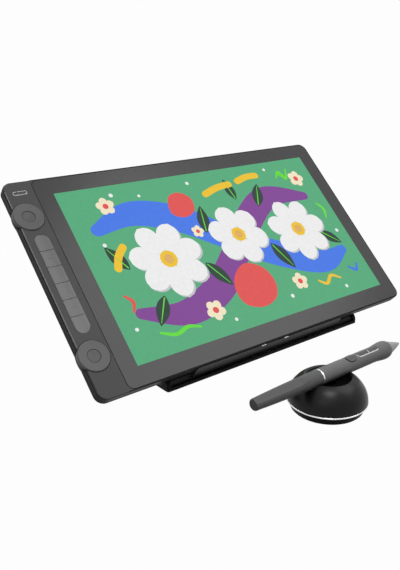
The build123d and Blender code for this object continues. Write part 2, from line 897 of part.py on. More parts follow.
def base_racks():
    racks = []
    half_notch = rack_pitch / 3
    for low, high in rack_places():
        points = [(rack_start, base_top - rack_depth), (rack_start, base_top)]
        for index in range(rack_notches):
            y = rack_start + (index + 1) * rack_pitch
            points += [(y - half_notch, base_top), (y, base_top - rack_notch_depth)]
            points += [(y + half_notch / 2, base_top)]
        points += [(rack_end(), base_top), (rack_end(), base_top - rack_depth)]
        strip = prism_x(points, rack_width / 2)
        racks.append(Pos((low + high) / 2, 0, 0) * strip)
    return Compound(children=racks)


def hinge_pins():
    pins = []
    for sign in (-1, 1):
        ends = sorted((sign * (base_half_width - pin_length), sign * (base_half_width - free_gap)))
        pins.append(rod(ends[0], ends[1], 0, hinge_height, pin_radius))
    return Compound(children=pins)


def base_feet():
    strip = Pos(0, -foot_front + foot_width / 2) * SlotOverall(foot_length, foot_width)
    feet = [slab(strip, 0, base_underside)]
    for sign in (-1, 1):
        x = sign * (base_half_width - rear_foot_edge - rear_foot_length / 2)
        y = base_length - base_front - rear_foot_edge - foot_width / 2
        feet.append(slab(stadium(x, y, rear_foot_length, foot_width), 0, base_underside))
    return Compound(children=feet)


keep("back_plate", on_plate, back_plate())
keep("lip_bumpers", on_plate, lip_bumpers())
keep("plate_pads", on_plate, plate_pads())
keep("prop_pin", on_plate, prop_pin())
keep("prop_leg", on_leg, prop_leg())
keep("prop_foot", on_leg, prop_foot())
keep("base_plate", Pos(), base_plate())
keep("base_racks", Pos(), base_racks())
keep("base_feet", Pos(), base_feet())
keep("hinge_pins", Pos(), hinge_pins())


# Pen, lying along x from its tail to its tip, with its buttons on top

def turned(edges):
    return revolve(make_face(edges), Axis.X)


def barrel_shape(extra):
    back = (barrel_start, barrel_back_radius + extra)
    grip = (grip_start, grip_start_radius + extra)
    middle = (grip_mid, grip_mid_radius + extra)
    flare = (flare_position, flare_radius + extra)
    front = (barrel_end, barrel_end_radius + extra)
    taper = (grip[0] - back[0], grip[1] - back[1])
    side = Line(back, grip) + Spline([grip, middle, flare], tangents=[taper, (1, 0)])
    nose = TangentArc([flare, front], tangent=(1, 0))
    ends = Polyline(front, (front[0], 0), (back[0], 0), back)
    return turned(side + nose + ends)


def groove_cutter():
    slope = (grip_start_radius - barrel_back_radius) / (grip_start - barrel_start)
    reach = 2 * dome_radius
    far = barrel_start + reach
    points = [(barrel_start - reach, barrel_back_radius + groove_gap),
              (barrel_start, barrel_back_radius + groove_gap),
              (far, barrel_back_radius + groove_gap + slope * reach),
              (far, 0), (barrel_start - reach, 0)]
    return turned(Polyline(*points, close=True))


def outline_plan():
    outer = 2 * (outline_width + slip_gap)
    room = 2 * slip_gap
    whole = stadium(rocker_middle, 0, rocker_length + outer, rocker_width + outer)
    whole -= stadium(rocker_middle, 0, rocker_length + room, rocker_width + room)
    left = rocker_middle - rocker_length
    right = rocker_middle + outline_reach
    near_side = Rectangle(right - left, rocker_width + outer, align=(Align.MIN, Align.MAX))
    return whole & Pos(left, outline_arm) * near_side


def pen_barrel():
    body = barrel_shape(0) - rod(band_start - overrun, barrel_end + overrun, 0, 0, pen_bore)
    room = 2 * slip_gap
    above = 2 * flare_radius
    body -= slab(stadium(rocker_middle, 0, rocker_length + room, rocker_width + room), 0, above)
    body -= slab(outline_plan(), 0, above)
    room = 2 * free_gap
    return body - slab(stadium(third_middle, 0, third_length + room, third_width + room), 0, above)


def pen_tail():
    edges = Polyline((0, 0), (0, tail_end_radius))
    stations = list(zip(tail_stations, tail_station_radii))
    slope = (stations[0][1] - tail_radius) / (stations[0][0] - tail_round_length)
    shoulder = (tail_round_length, tail_radius)
    edges += Spline([(0, tail_end_radius), shoulder], tangents=[(0, 1), (1, slope)])
    edges += Spline([shoulder, *stations, (band_start, barrel_back_radius)])
    edges += Polyline((band_start, barrel_back_radius), (band_start, 0), (0, 0))
    tail = turned(edges) - rod(core_start, band_start + overrun, 0, 0, pen_bore)
    above = 2 * barrel_back_radius
    cutter = [(-overrun, flat_start_height), (0, flat_start_height),
              (flat_length - flat_ramp, flat_end_height), (flat_length, barrel_back_radius),
              (flat_length, above), (-overrun, above)]
    profile = make_face(Polyline(*[(x, 0, z) for x, z in cutter], close=True))
    return tail - Rot(flat_turn, 0, 0) * extrude(profile, above, dir=(0, 1, 0), both=True)


def pen_band():
    ring = rod(band_start, barrel_start, 0, 0, barrel_back_radius + band_proud)
    return ring - rod(band_start - overrun, barrel_start + overrun, 0, 0, pen_bore)


def button_on_barrel(middle, length, width, proud):
    skin = barrel_shape(proud) - rod(band_start - overrun, barrel_end + overrun, 0, 0, pen_bore)
    return skin & slab(stadium(middle, 0, length, width), 0, 2 * flare_radius)


def pen_outline():
    skin = barrel_shape(outline_proud) - rod(band_start - overrun, barrel_end + overrun, 0, 0, pen_bore)
    return skin & slab(outline_plan(), 0, 2 * flare_radius)


def tick_column():
    low = -rocker_width / 2
    bar = Pos(rocker_middle, low) * Rectangle(tick_width, tick_arm - low, align=(Align.CENTER, Align.MIN))
    return slab(bar, 0, 2 * flare_radius) - barrel_shape(-tick_depth)


def pen_rocker():
    return button_on_barrel(rocker_middle, rocker_length, rocker_width, button_proud) - tick_column()


def rocker_tick():
    return barrel_shape(button_proud + outline_proud) & tick_column()


def pen_cone():
    edges = Polyline((barrel_end, 0), (barrel_end, cone_base_radius))
    edges += Spline([(barrel_end, cone_base_radius), (cone_end, cone_tip_radius)],
                    tangents=[(1, -cone_slope_base), (1, -cone_slope_tip)])
    edges += Polyline((cone_end, cone_tip_radius), (cone_end, 0), (barrel_end, 0))
    cone = turned(edges) - rod(barrel_end - overrun, cone_end + overrun, 0, 0, nib_radius + run_gap)
    socket_end = pen_length - nib_length + nib_socket_depth
    return cone - rod(barrel_end - overrun, socket_end + free_gap, 0, 0, nib_socket_radius + slip_gap)


def nib(start, end):
    shaft_end = end - nib_radius
    edges = Polyline((start, 0), (start, nib_radius), (shaft_end, nib_radius))
    edges += Spline([(shaft_end, nib_radius), (end, nib_tip_radius)], tangents=[(1, 0), (1, -2)])
    edges += Polyline((end, nib_tip_radius), (end, 0), (start, 0))
    return turned(edges)


def pen_core():
    nib_start = pen_length - nib_length
    core = rod(core_start, barrel_end - free_gap, 0, 0, core_radius)
    core += rod(barrel_end - overrun, nib_start + nib_socket_depth, 0, 0, nib_socket_radius)
    return core - rod(nib_start - travel_room, pen_length, 0, 0, nib_radius + run_gap)


keep("pen_tail", on_pen, pen_tail())
keep("pen_band", on_pen, pen_band())
keep("pen_barrel", on_pen, pen_barrel())
keep("pen_outline", on_pen, pen_outline())
keep("pen_rocker", on_pen, pen_rocker())
keep("rocker_tick", on_pen, rocker_tick())
keep("pen_third_button", on_pen, button_on_barrel(third_middle, third_length, third_width, third_proud))
keep("pen_cone", on_pen, pen_cone())
keep("pen_nib", on_pen, nib(pen_length - nib_length, pen_length))
keep("pen_core", on_pen, pen_core())


# Pen holder, round its own upright axis

def turned_up(edges):
    return revolve(make_face(edges), Axis.Z)


def upright_points(*points):
    return Polyline(*[(radius, 0, height) for radius, height in points])


def dome_level(radius):
    return dome_start + dome_rise * sqrt(1 - (radius / dome_radius) ** 2)


def holder_dome():
    height_shares = (0.0, 0.25, 0.5, 0.75, 1.0)
    outer_rim = dish_radius + dish_edge_round
    heights = [dome_start + (dome_level(outer_rim) - dome_start) * share for share in height_shares]
    side_points = [(dome_radius * sqrt(1 - ((z - dome_start) / dome_rise) ** 2), 0, z) for z in heights]
    slope = -(dome_rise ** 2 * outer_rim) / (dome_radius ** 2 * (dome_level(outer_rim) - dome_start))
    side = Spline(side_points, tangents=[(0, 0, 1), (-1, 0, -slope)])
    rim_top = (dish_radius - dish_edge_round, 0, dome_level(outer_rim) - dish_edge_round / 2)
    rim = Spline([side_points[-1], rim_top], tangents=[(-1, 0, -slope), (-1, 0, -2)])
    hole_edge = (hole_radius + hole_round, 0, dish_floor)
    dish = Spline([rim_top, hole_edge], tangents=[(-1, 0, -2), (-1, 0, 0)])
    lip = Spline([hole_edge, (hole_radius, 0, dish_floor - hole_round)], tangents=[(-1, 0, 0), (0, 0, -1)])
    hole_floor = dish_floor - hole_depth
    rest = upright_points((hole_radius, dish_floor - hole_round), (hole_radius, hole_floor), (0, hole_floor),
                          (0, hole_floor - sleeve_floor), (nib_room_inner, hole_floor - sleeve_floor),
                          (nib_room_inner, nib_room_roof), (nib_room_outer, nib_room_roof),
                          (nib_room_outer, dome_start), (dome_radius, dome_start))
    return turned_up(side + rim + dish + lip + rest)


def holder_ring():
    base = dome_start - ring_height
    ring = disc(0, 0, base, dome_start, ring_radius)
    ring = fillet(ring.edges().filter_by(GeomType.CIRCLE), ring_height / 3)
    return ring - disc(0, 0, base - overrun, dome_start + overrun, ring_radius - ring_depth)


def holder_base():
    top = dome_start - ring_height
    floor = holder_pad_height + holder_wall
    spigot = nib_room_outer - run_gap
    shoulder = ring_radius - ring_depth - seam_gap
    shoulder_top = top + ring_height - seam_gap
    cup = upright_points((0, holder_pad_height), (holder_bottom_radius, holder_pad_height),
                         (holder_top_radius, top), (shoulder, top), (shoulder, shoulder_top),
                         (spigot, shoulder_top), (spigot, top + spigot_height),
                         (spigot - spigot_wall, top + spigot_height), (spigot - spigot_wall, floor),
                         (0, floor), (0, holder_pad_height))
    return turned_up(cup)


def nib_places():
    for index in range(spare_nib_count):
        angle = 2 * pi * index / spare_nib_count
        yield spare_nib_ring * cos(angle), spare_nib_ring * sin(angle)


def nib_tray():
    floor = holder_pad_height + holder_wall
    outer = nib_room_outer - run_gap - spigot_wall - slip_gap
    tray = disc(0, 0, floor, floor + tray_height, outer)
    tray -= disc(0, 0, floor - overrun, floor + tray_height + overrun, tray_inner)
    for x, y in nib_places():
        tray -= disc(x, y, floor + floor_thickness, floor + tray_height + overrun, nib_radius + run_gap)
    return tray


def spare_nibs():
    stand = holder_pad_height + holder_wall + floor_thickness
    upright = Rot(0, -90, 0) * nib(0, nib_length)
    return Compound(children=[Pos(x, y, stand) * upright for x, y in nib_places()])


keep("holder_dome", Pos(), holder_centre * holder_dome() - on_pen * groove_cutter())
keep("holder_ring", holder_centre, holder_ring())
keep("holder_base", holder_centre, holder_base())
keep("holder_pad", holder_centre, disc(0, 0, 0, holder_pad_height, holder_pad_radius))
keep("nib_tray", holder_centre, nib_tray())
keep("spare_nibs", holder_centre, spare_nibs())

os.makedirs("parts", exist_ok=True)
for name, shape in nodes.items():
    export_step(shape, f"parts/{name}.step")
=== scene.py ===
import json
from math import cos, pi, radians, sin

import bpy
from mathutils import Matrix, Vector


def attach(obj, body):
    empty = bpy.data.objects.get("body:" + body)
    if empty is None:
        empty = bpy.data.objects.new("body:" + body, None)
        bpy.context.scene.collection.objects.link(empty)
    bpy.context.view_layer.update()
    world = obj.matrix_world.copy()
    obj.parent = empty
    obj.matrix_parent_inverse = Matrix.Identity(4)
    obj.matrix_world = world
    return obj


# Pen display on its folding stand, with pen and pen holder. Sizes named _mm are in millimetres,
# and the others in metres.
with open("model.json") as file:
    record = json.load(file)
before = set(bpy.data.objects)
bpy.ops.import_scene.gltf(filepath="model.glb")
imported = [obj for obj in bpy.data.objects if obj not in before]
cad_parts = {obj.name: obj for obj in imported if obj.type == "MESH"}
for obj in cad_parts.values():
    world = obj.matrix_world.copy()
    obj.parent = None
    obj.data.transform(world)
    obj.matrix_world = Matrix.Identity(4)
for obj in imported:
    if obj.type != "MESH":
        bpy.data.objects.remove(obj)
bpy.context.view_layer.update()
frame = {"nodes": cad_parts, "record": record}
nodes = frame["nodes"]
scene = bpy.context.scene
scene.view_settings.view_transform = "Standard"

# Camera
camera_place = (-0.47285, -0.47700, 0.31406)
camera_turn = (radians(70.374), radians(0.118), radians(-38.675))
camera_lens = 43.89
camera_sensor = 36.0
camera_near = 0.02

# Place of the tablet's face
mm = 0.001
hinge_height_mm = 5.3
tilt = radians(43.5)
face_shift_mm = (-160.9, 21.2, 17.5)

on_hinge = Matrix.Translation((0, 0, hinge_height_mm * mm)) @ Matrix.Rotation(tilt, 4, "X")
on_face = on_hinge @ Matrix.Translation(Vector(face_shift_mm) * mm)


def linear(level):
    """Scene value of a screen level from 0 to 255, by the sRGB curve."""
    share = level / 255
    if share <= 0.04045:
        return share / 12.92
    return ((share + 0.055) / 1.055) ** 2.4


def colour(red, green, blue):
    return (linear(red), linear(green), linear(blue), 1.0)


def grey(level):
    return colour(level, level, level)


# Materials: noise that all of them share
noise_low = 0.3
noise_high = 0.7
broad_scale = 14.0
broad_detail = 4.0
broad_seed = 1.7
fine_detail = 2.0
rough_swing = 0.05

# Moulded surfaces
grain_depth = 0.00004

# Brushed metals
brush_scale = 90.0
brush_detail = 3.0
brush_change = 0.12
brush_rough_rise = 0.08
brush_strength = 0.05
brush_depth = 0.00003
brush_along_x = (1.0, 30.0, 30.0)
brush_along_y = (30.0, 1.0, 30.0)

# Lit paint of the picture
stroke_scale = 260.0
stroke_detail = 5.0
stroke_seed = 4.2
stroke_change = 0.035
paint_glow = 0.86
paint_share = 0.1
paint_grain = 1800.0
paint_rough_low = 0.36
paint_rough_high = 0.46
paint_specular = 0.1


def new_material(name):
    material = bpy.data.materials.new(name)
    material.use_nodes = True
    tree = material.node_tree
    shader = tree.nodes["Principled BSDF"]
    return material, tree, shader


def noise(tree, scale, detail, seed=0.0):
    place = tree.nodes.new("ShaderNodeTexCoord")
    texture = tree.nodes.new("ShaderNodeTexNoise")
    texture.noise_dimensions = "4D"
    texture.inputs["W"].default_value = seed
    texture.inputs["Scale"].default_value = scale
    texture.inputs["Detail"].default_value = detail
    tree.links.new(place.outputs["Object"], texture.inputs["Vector"])
    return texture.outputs["Fac"]


def spread(tree, source, low, high):
    span = tree.nodes.new("ShaderNodeMapRange")
    span.inputs["From Min"].default_value = noise_low
    span.inputs["From Max"].default_value = noise_high
    span.inputs["To Min"].default_value = low
    span.inputs["To Max"].default_value = high
    tree.links.new(source, span.inputs["Value"])
    return span.outputs["Result"]


def toned(tree, source, rgba, change):
    mix = tree.nodes.new("ShaderNodeMix")
    mix.data_type = "RGBA"
    darker = [part * (1 - change) for part in rgba[:3]] + [1.0]
    lighter = [part * (1 + change) for part in rgba[:3]] + [1.0]
    mix.inputs["A"].default_value = darker
    mix.inputs["B"].default_value = lighter
    tree.links.new(source, mix.inputs["Factor"])
    return mix.outputs["Result"]


def bumped(tree, shader, source, strength, depth):
    bump = tree.nodes.new("ShaderNodeBump")
    bump.inputs["Strength"].default_value = strength
    bump.inputs["Distance"].default_value = depth
    tree.links.new(source, bump.inputs["Height"])
    tree.links.new(bump.outputs["Normal"], shader.inputs["Normal"])


def moulded(name, rgba, rough, grain, bump, change, specular, metal=0.0):
    material, tree, shader = new_material(name)
    broad = spread(tree, noise(tree, broad_scale, broad_detail, broad_seed), 0.0, 1.0)
    tree.links.new(toned(tree, broad, rgba, change), shader.inputs["Base Color"])
    fine = noise(tree, grain, fine_detail)
    roughness = spread(tree, fine, rough - rough_swing, rough + rough_swing)
    tree.links.new(roughness, shader.inputs["Roughness"])
    bumped(tree, shader, fine, bump, grain_depth)
    shader.inputs["Specular IOR Level"].default_value = specular
    shader.inputs["Metallic"].default_value = metal
    return material


def brushed(name, rgba, rough, along):
    material, tree, shader = new_material(name)
    place = tree.nodes.new("ShaderNodeTexCoord")
    stretch = tree.nodes.new("ShaderNodeMapping")
    stretch.inputs["Scale"].default_value = along
    texture = tree.nodes.new("ShaderNodeTexNoise")
    texture.inputs["Scale"].default_value = brush_scale
    texture.inputs["Detail"].default_value = brush_detail
    tree.links.new(place.outputs["Object"], stretch.inputs["Vector"])
    tree.links.new(stretch.outputs["Vector"], texture.inputs["Vector"])
    lines = texture.outputs["Fac"]
    shown = toned(tree, spread(tree, lines, 0.0, 1.0), rgba, brush_change)
    tree.links.new(shown, shader.inputs["Base Color"])
    roughness = spread(tree, lines, rough - rough_swing, rough + brush_rough_rise)
    tree.links.new(roughness, shader.inputs["Roughness"])
    bumped(tree, shader, lines, brush_strength, brush_depth)
    shader.inputs["Metallic"].default_value = 1.0
    return material


def lit_paint(name, rgba):
    material, tree, shader = new_material(name)
    strokes = spread(tree, noise(tree, stroke_scale, stroke_detail, stroke_seed), 0.0, 1.0)
    under = [part * paint_share for part in rgba[:3]] + [1.0]
    tree.links.new(toned(tree, strokes, under, stroke_change), shader.inputs["Base Color"])
    tree.links.new(toned(tree, strokes, rgba, stroke_change), shader.inputs["Emission Color"])
    shader.inputs["Emission Strength"].default_value = paint_glow
    fine = noise(tree, paint_grain, fine_detail)
    tree.links.new(spread(tree, fine, paint_rough_low, paint_rough_high), shader.inputs["Roughness"])
    shader.inputs["Specular IOR Level"].default_value = paint_specular
    return material


# Moulded slots: material, colour, roughness, grain scale, grain strength, change of tone,
# specular level and, for the polished metals, metal
moulded_slots = {
    "stand": ("stand_paint", grey(56), 0.4, 3000.0, 0.1, 0.08, 0.1),
    "bumper": ("bumper_plastic", grey(205), 0.5, 2500.0, 0.05, 0.03, 0.4),
    "rubber": ("rubber_black", grey(34), 0.8, 3500.0, 0.3, 0.1, 0.15),
    "dark_part": ("inner_plastic", grey(38), 0.55, 2500.0, 0.15, 0.08, 0.3),
    "case": ("case_plastic", grey(36), 0.5, 2600.0, 0.2, 0.08, 0.06),
    "rim": ("rim_plastic", grey(30), 0.42, 2600.0, 0.1, 0.06, 0.08),
    "panel": ("panel_plastic", grey(62), 0.5, 2600.0, 0.14, 0.04, 0.25),
    "screen_glass": ("etched_glass", grey(60), 0.24, 3600.0, 0.05, 0.025, 0.25),
    "display": ("display_layers", colour(60, 120, 90), 0.4, 2200.0, 0.12, 0.06, 0.4),
    "board": ("board_mask", colour(30, 84, 58), 0.4, 900.0, 0.2, 0.2, 0.5),
    "mat": ("mat_silicone", grey(130), 0.6, 2500.0, 0.1, 0.05, 0.3),
    # power button trim near-white: painted highlight of its glinting chamfer
    "power_trim": ("power_rim_painted_highlight", grey(230), 0.3, 2600.0, 0.05, 0.04, 0.5),
    "power_face": ("power_cap", grey(52), 0.4, 2600.0, 0.1, 0.05, 0.4),
    "dial": ("dial_plastic", grey(84), 0.42, 2600.0, 0.12, 0.04, 0.32),
    "dial_cap": ("dial_cap_plastic", grey(76), 0.42, 2600.0, 0.12, 0.04, 0.32),
    "key": ("key_plastic", grey(96), 0.34, 2600.0, 0.1, 0.03, 0.4),
    "pen_body": ("pen_soft_plastic", grey(118), 0.45, 3200.0, 0.12, 0.05, 0.06),
    "band": ("band_metal", grey(228), 0.3, 1600.0, 0.01, 0.04, 0.5, 1.0),
    "outline": ("outline_plastic", grey(214), 0.4, 2500.0, 0.04, 0.03, 0.4),
    "pen_button": ("pen_button_plastic", grey(74), 0.45, 2600.0, 0.08, 0.04, 0.35),
    "pen_cone": ("pen_cone_plastic", grey(160), 0.45, 2600.0, 0.08, 0.04, 0.3),
    "nib": ("nib_plastic", grey(60), 0.55, 2500.0, 0.05, 0.04, 0.3),
    "dome": ("dome_gloss", grey(4), 0.34, 1200.0, 0.01, 0.05, 0.2),
    "ring": ("ring_chrome", grey(228), 0.3, 1600.0, 0.01, 0.04, 0.5, 1.0),
    "holder_foot": ("holder_foot_plastic", grey(6), 0.4, 2600.0, 0.05, 0.06, 0.03),
}

# Brushed slots: material, colour, roughness, stretch of the lines
brushed_slots = {
    "leg": ("leg_metal", grey(96), 0.38, brush_along_x),
    "steel": ("steel_turned", grey(185), 0.3, brush_along_y),
    "chassis": ("chassis_sheet", grey(170), 0.35, brush_along_x),
    "socket": ("socket_shell", grey(178), 0.25, brush_along_x),
}

# Nodes that differ in look from the rest of their slot, each darker by painted shade
moulded_nodes = {
    # base plate darker than the stand: painted shade of the shadow it lies in
    "base_plate": ("base_painted_shade", grey(20), 0.45, 3000.0, 0.1, 0.08, 0.04),
    # pen tail darker than the front barrel: painted shade of the light falling off towards the tail; its
    # lower roughness is a harder plastic
    "pen_tail": ("pen_tail_painted_shade", grey(100), 0.4, 2600.0, 0.08, 0.04, 0.06),
}

looks = {slot: moulded(*values) for slot, values in moulded_slots.items()}
looks.update({slot: brushed(*values) for slot, values in brushed_slots.items()})
node_looks = {node: moulded(*values) for node, values in moulded_nodes.items()}

for entry in frame["record"]["subparts"]:
    look = node_looks.get(entry["node"], looks[entry["material_slot"]])
    mesh = nodes[entry["node"]].data
    if not mesh.materials:
        mesh.materials.append(look)
    for index in range(len(mesh.materials)):
        mesh.materials[index] = look

# Picture on the lit screen: flowers, leaves and ribbons, each shape a thin layer on the glass.
# Its places are in millimetres from the corner of the lit area.
picture_low_mm = (-0.25, 0.4)
picture_high_mm = (350.3, 196.4)
layer_mm = 0.015
ground_layer = 0
blob_layer = 3
leaf_layer = 4
line_layer = 5
bloom_layer = 6

blob_steps = 6
disc_sides = 40
dot_sides = 16
blade_steps = 14
ribbon_steps = 8
ribbon_end_steps = 8
bar_steps = 5
line_steps = 6

# Shares of a flower's reach or heart
shade_right = 0.035
shade_down = 0.055
petal_root = 1.5
petal_fullness = 0.55
heart_core = 0.56
small_petal_width = 0.8
small_petal_root = 1.4
small_petal_fullness = 0.6
small_heart = 0.3

# Leaves and the vein on each
leaf_root = 0.9
leaf_fullness = 0.9
vein_shares = (0.08, 0.5, 0.9)
vein_half_widths_mm = (0.7, 0.6, 0.3)
vein_steps = 4
bar_half_width_mm = 4.2

# Wide ribbons: paint, layer, middle line, half widths
wide_ribbons = (
    ("blue", 1, ((26, 146), (72, 158), (124, 142), (176, 106), (232, 72), (286, 50), (326, 58)),
     (7, 15, 18, 17, 18, 15, 6)),
    ("purple", 2, ((28, 48), (78, 36), (128, 52), (172, 86), (216, 124), (262, 148), (318, 140)),
     (6, 14, 17, 16, 17, 15, 6)),
)

# Round spots of coral
coral_blobs = (
    ((150, 26), (170, 18), (192, 24), (202, 42), (196, 62), (176, 72), (156, 62), (146, 44)),
    ((120, 150), (134, 142), (150, 148), (154, 164), (142, 174), (126, 170)),
)

# Leaves: x, y, length, width, direction
leaves = (
    (40, 96, 34, 15, 118),
    (62, 60, 36, 15, 236),
    (128, 84, 38, 16, 300),
    (150, 118, 36, 15, 74),
    (226, 88, 40, 17, 292),
    (240, 138, 34, 15, 62),
    (308, 88, 32, 14, 318),
    (214, 152, 30, 13, 96),
)

# Large flowers: x, y, reach of a petal, petals, width of a petal, turn, radius of the heart
blooms = (
    (88, 98, 40, 7, 27, 12, 10),
    (190, 108, 34, 6, 27, 40, 9),
    (278, 98, 38, 7, 25, 5, 9.5),
)

# Small flowers: x, y, reach of a petal, petals, turn
small_blooms = (
    (48, 172, 11, 5, 20),
    (110, 30, 12, 5, 50),
    (236, 34, 11, 5, 10),
    (322, 166, 12, 5, 70),
    (140, 122, 8, 5, 0),
)

# Yellow bars: middle line
yellow_bars = (
    ((176, 166), (196, 172), (216, 174)),
    ((230, 176), (246, 180), (262, 180)),
    ((44, 122), (34, 112), (28, 100)),
)

# Thin lines: paint, middle line, half widths
thin_lines = (
    ("lime", ((38, 24), (54, 18), (70, 22), (84, 18)), (1.2, 2.0, 2.0, 1.0)),
    ("lime", ((292, 172), (300, 180), (306, 168), (314, 182)), (1.0, 1.8, 1.8, 1.0)),
    ("lime", ((330, 126), (336, 116), (332, 104)), (1.2, 2.0, 1.0)),
    ("yellow", ((262, 28), (272, 22), (284, 30), (296, 24)), (1.2, 2.0, 2.0, 1.2)),
    ("blue", ((318, 34), (328, 28), (334, 36)), (1.2, 2.2, 1.2)),
    ("coral", ((20, 70), (26, 62), (22, 52)), (1.2, 2.0, 1.2)),
)

# White dots: x, y, radius
white_dots = (
    (60, 184, 2.4), (92, 178, 1.8), (160, 184, 2.2), (280, 186, 2.0), (26, 128, 2.2),
    (214, 20, 2.4), (128, 14, 2.0), (298, 12, 2.2), (336, 84, 2.4), (16, 34, 2.0),
)

paints = {
    "ground": (87, 172, 125),
    "blue": (72, 122, 232),
    "purple": (130, 70, 150),
    "coral": (226, 86, 84),
    "yellow": (240, 196, 50),
    "tan": (224, 176, 98),
    "cream": (244, 232, 200),
    "white": (240, 240, 240),
    "shade": (196, 198, 202),
    "deep_green": (44, 66, 58),
    "lime": (104, 222, 62),
}

picture = {}


def shape(paint, layer, outline):
    picture.setdefault(paint, []).append((layer, outline))


def curve_through(points, steps, closed=False):
    """Smooth curve through the points, by the Catmull-Rom formula."""
    count = len(points)
    line = []
    spans = count if closed else count - 1
    for index in range(spans):
        if closed:
            a, b, c, d = (points[(index + k - 1) % count] for k in range(4))
        else:
            a = points[max(index - 1, 0)]
            b, c = points[index], points[index + 1]
            d = points[min(index + 2, count - 1)]
        for step in range(steps):
            t = step / steps
            line.append(tuple(
                0.5 * (2 * q + (r - p) * t + (2 * p - 5 * q + 4 * r - s) * t ** 2
                       + (3 * q - p - 3 * r + s) * t ** 3)
                for p, q, r, s in zip(a, b, c, d)))
    if not closed:
        line.append(tuple(points[-1]))
    return line


def blob(paint, layer, points):
    shape(paint, layer, curve_through(points, blob_steps, closed=True))


def disc(paint, layer, x, y, radius, sides=disc_sides):
    turns = [2 * pi * index / sides for index in range(sides)]
    shape(paint, layer, [(x + radius * cos(turn), y + radius * sin(turn)) for turn in turns])


def blade(paint, layer, x, y, length, width, angle, root_share, fullness):
    turn = radians(angle)
    upper = []
    for index in range(blade_steps + 1):
        share = index / blade_steps
        half = width / 2 * max(sin(pi * share ** root_share), 0.0) ** fullness
        upper.append((length * share, half))
    lower = [(u, -v) for u, v in reversed(upper[1:-1])]
    outline = [(x + u * cos(turn) - v * sin(turn), y + u * sin(turn) + v * cos(turn))
               for u, v in upper + lower]
    shape(paint, layer, outline)


def round_end(x, y, half, other):
    out = (Vector((x, y)) - other).normalized()
    side = Vector((-out.y, out.x))
    arc = []
    for step in range(1, ribbon_end_steps):
        turn = pi * step / ribbon_end_steps
        point = Vector((x, y)) + side * (half * cos(turn)) + out * (half * sin(turn))
        arc.append(tuple(point))
    return arc


def ribbon(paint, layer, points, half_widths, steps):
    rows = curve_through([point + (half,) for point, half in zip(points, half_widths)], steps)
    left, right = [], []
    for index, (x, y, half) in enumerate(rows):
        before = Vector(rows[max(index - 1, 0)][:2])
        after = Vector(rows[min(index + 1, len(rows) - 1)][:2])
        along = (after - before).normalized()
        left.append((x - along.y * half, y + along.x * half))
        right.append((x + along.y * half, y - along.x * half))
    far_end = round_end(*rows[-1], Vector(rows[-2][:2]))
    near_end = round_end(*rows[0], Vector(rows[1][:2]))
    shape(paint, layer, left + far_end + right[::-1] + near_end)


def bloom(layer, x, y, reach, petals, width, turn, heart):
    for index in range(petals):
        angle = turn + 360 * index / petals
        lean = radians(angle)
        start = (x + heart * cos(lean) / 2, y + heart * sin(lean) / 2)
        shade = (start[0] + reach * shade_right, start[1] - reach * shade_down)
        blade("shade", layer, *shade, reach, width, angle, petal_root, petal_fullness)
        blade("white", layer + 1 + index % 2, *start, reach, width, angle, petal_root, petal_fullness)
    disc("yellow", layer + 3, x, y, heart)
    disc("tan", layer + 4, x, y, heart * heart_core)


def small_bloom(layer, x, y, reach, petals, turn):
    for index in range(petals):
        angle = turn + 360 * index / petals
        blade("cream", layer + index % 2, x, y, reach, reach * small_petal_width, angle,
              small_petal_root, small_petal_fullness)
    disc("coral", layer + 2, x, y, reach * small_heart)


def leaf(layer, x, y, length, width, angle):
    blade("deep_green", layer, x, y, length, width, angle, leaf_root, leaf_fullness)
    turn = radians(angle)
    points = [(x + length * share * cos(turn), y + length * share * sin(turn)) for share in vein_shares]
    ribbon("lime", layer + 1, points, vein_half_widths_mm, vein_steps)


left_mm, low_mm = picture_low_mm
right_mm, high_mm = picture_high_mm
lit_area = [(left_mm, low_mm), (right_mm, low_mm), (right_mm, high_mm), (left_mm, high_mm)]
shape("ground", ground_layer, lit_area)
for paint, layer, points, half_widths in wide_ribbons:
    ribbon(paint, layer, points, half_widths, ribbon_steps)
for points in coral_blobs:
    blob("coral", blob_layer, points)
for values in leaves:
    leaf(leaf_layer, *values)
for values in blooms:
    bloom(bloom_layer, *values)
for values in small_blooms:
    small_bloom(bloom_layer, *values)
for points in yellow_bars:
    ribbon("yellow", line_layer, points, [bar_half_width_mm] * len(points), bar_steps)
for paint, points, half_widths in thin_lines:
    ribbon(paint, line_layer, points, half_widths, line_steps)
for values in white_dots:
    disc("white", line_layer, *values, sides=dot_sides)


def face_point(x, y, height):
    return on_face @ (Vector((x, y, height)) * mm)


def new_mesh(name, vertices, faces):
    mesh = bpy.data.meshes.new(name)
    mesh.from_pydata(vertices, [], faces)
    mesh.update()
    return mesh


def new_piece(name, mesh, look):
    piece = bpy.data.objects.new(name, mesh)
    scene.collection.objects.link(piece)
    piece.data.materials.append(look)
    return piece


def picture_mesh(name, layers):
    vertices, faces = [], []
    for layer, outline in layers:
        area = sum(a[0] * b[1] - b[0] * a[1] for a, b in zip(outline, outline[1:] + outline[:1]))
        if area < 0:
            outline = outline[::-1]
        first = len(vertices)
        count = len(outline)
        top = (layer + 1) * layer_mm
        vertices += [face_point(x, y, 0) for x, y in outline]
        vertices += [face_point(x, y, top) for x, y in outline]
        faces.append([first + index for index in reversed(range(count))])
        faces.append([first + count + index for index in range(count)])
        for index in range(count):
            after = (index + 1) % count
            faces.append([first + index, first + after, first + count + after, first + count + index])
    return new_mesh(name, vertices, faces)


for paint, layers in picture.items():
    name = f"picture_{paint}"
    piece = new_piece(name, picture_mesh(name, layers), lit_paint(name, colour(*paints[paint])))
    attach(piece, "tablet")

# Bevelled edge of the key panel, on its left side, clear of the dials, in a lighter grey that is a painted
# highlight:
# the runs along y, the place of the edge, and the section as (x, height)
bevel_runs_mm = ((33.5, 163.5), (186.0, 206.5))
bevel_face_mm = -49.0
bevel_profile_mm = ((0.85, -0.46), (1.32, 0.012), (1.62, 0.012), (1.62, 0.05), (1.28, 0.06), (0.80, -0.42))


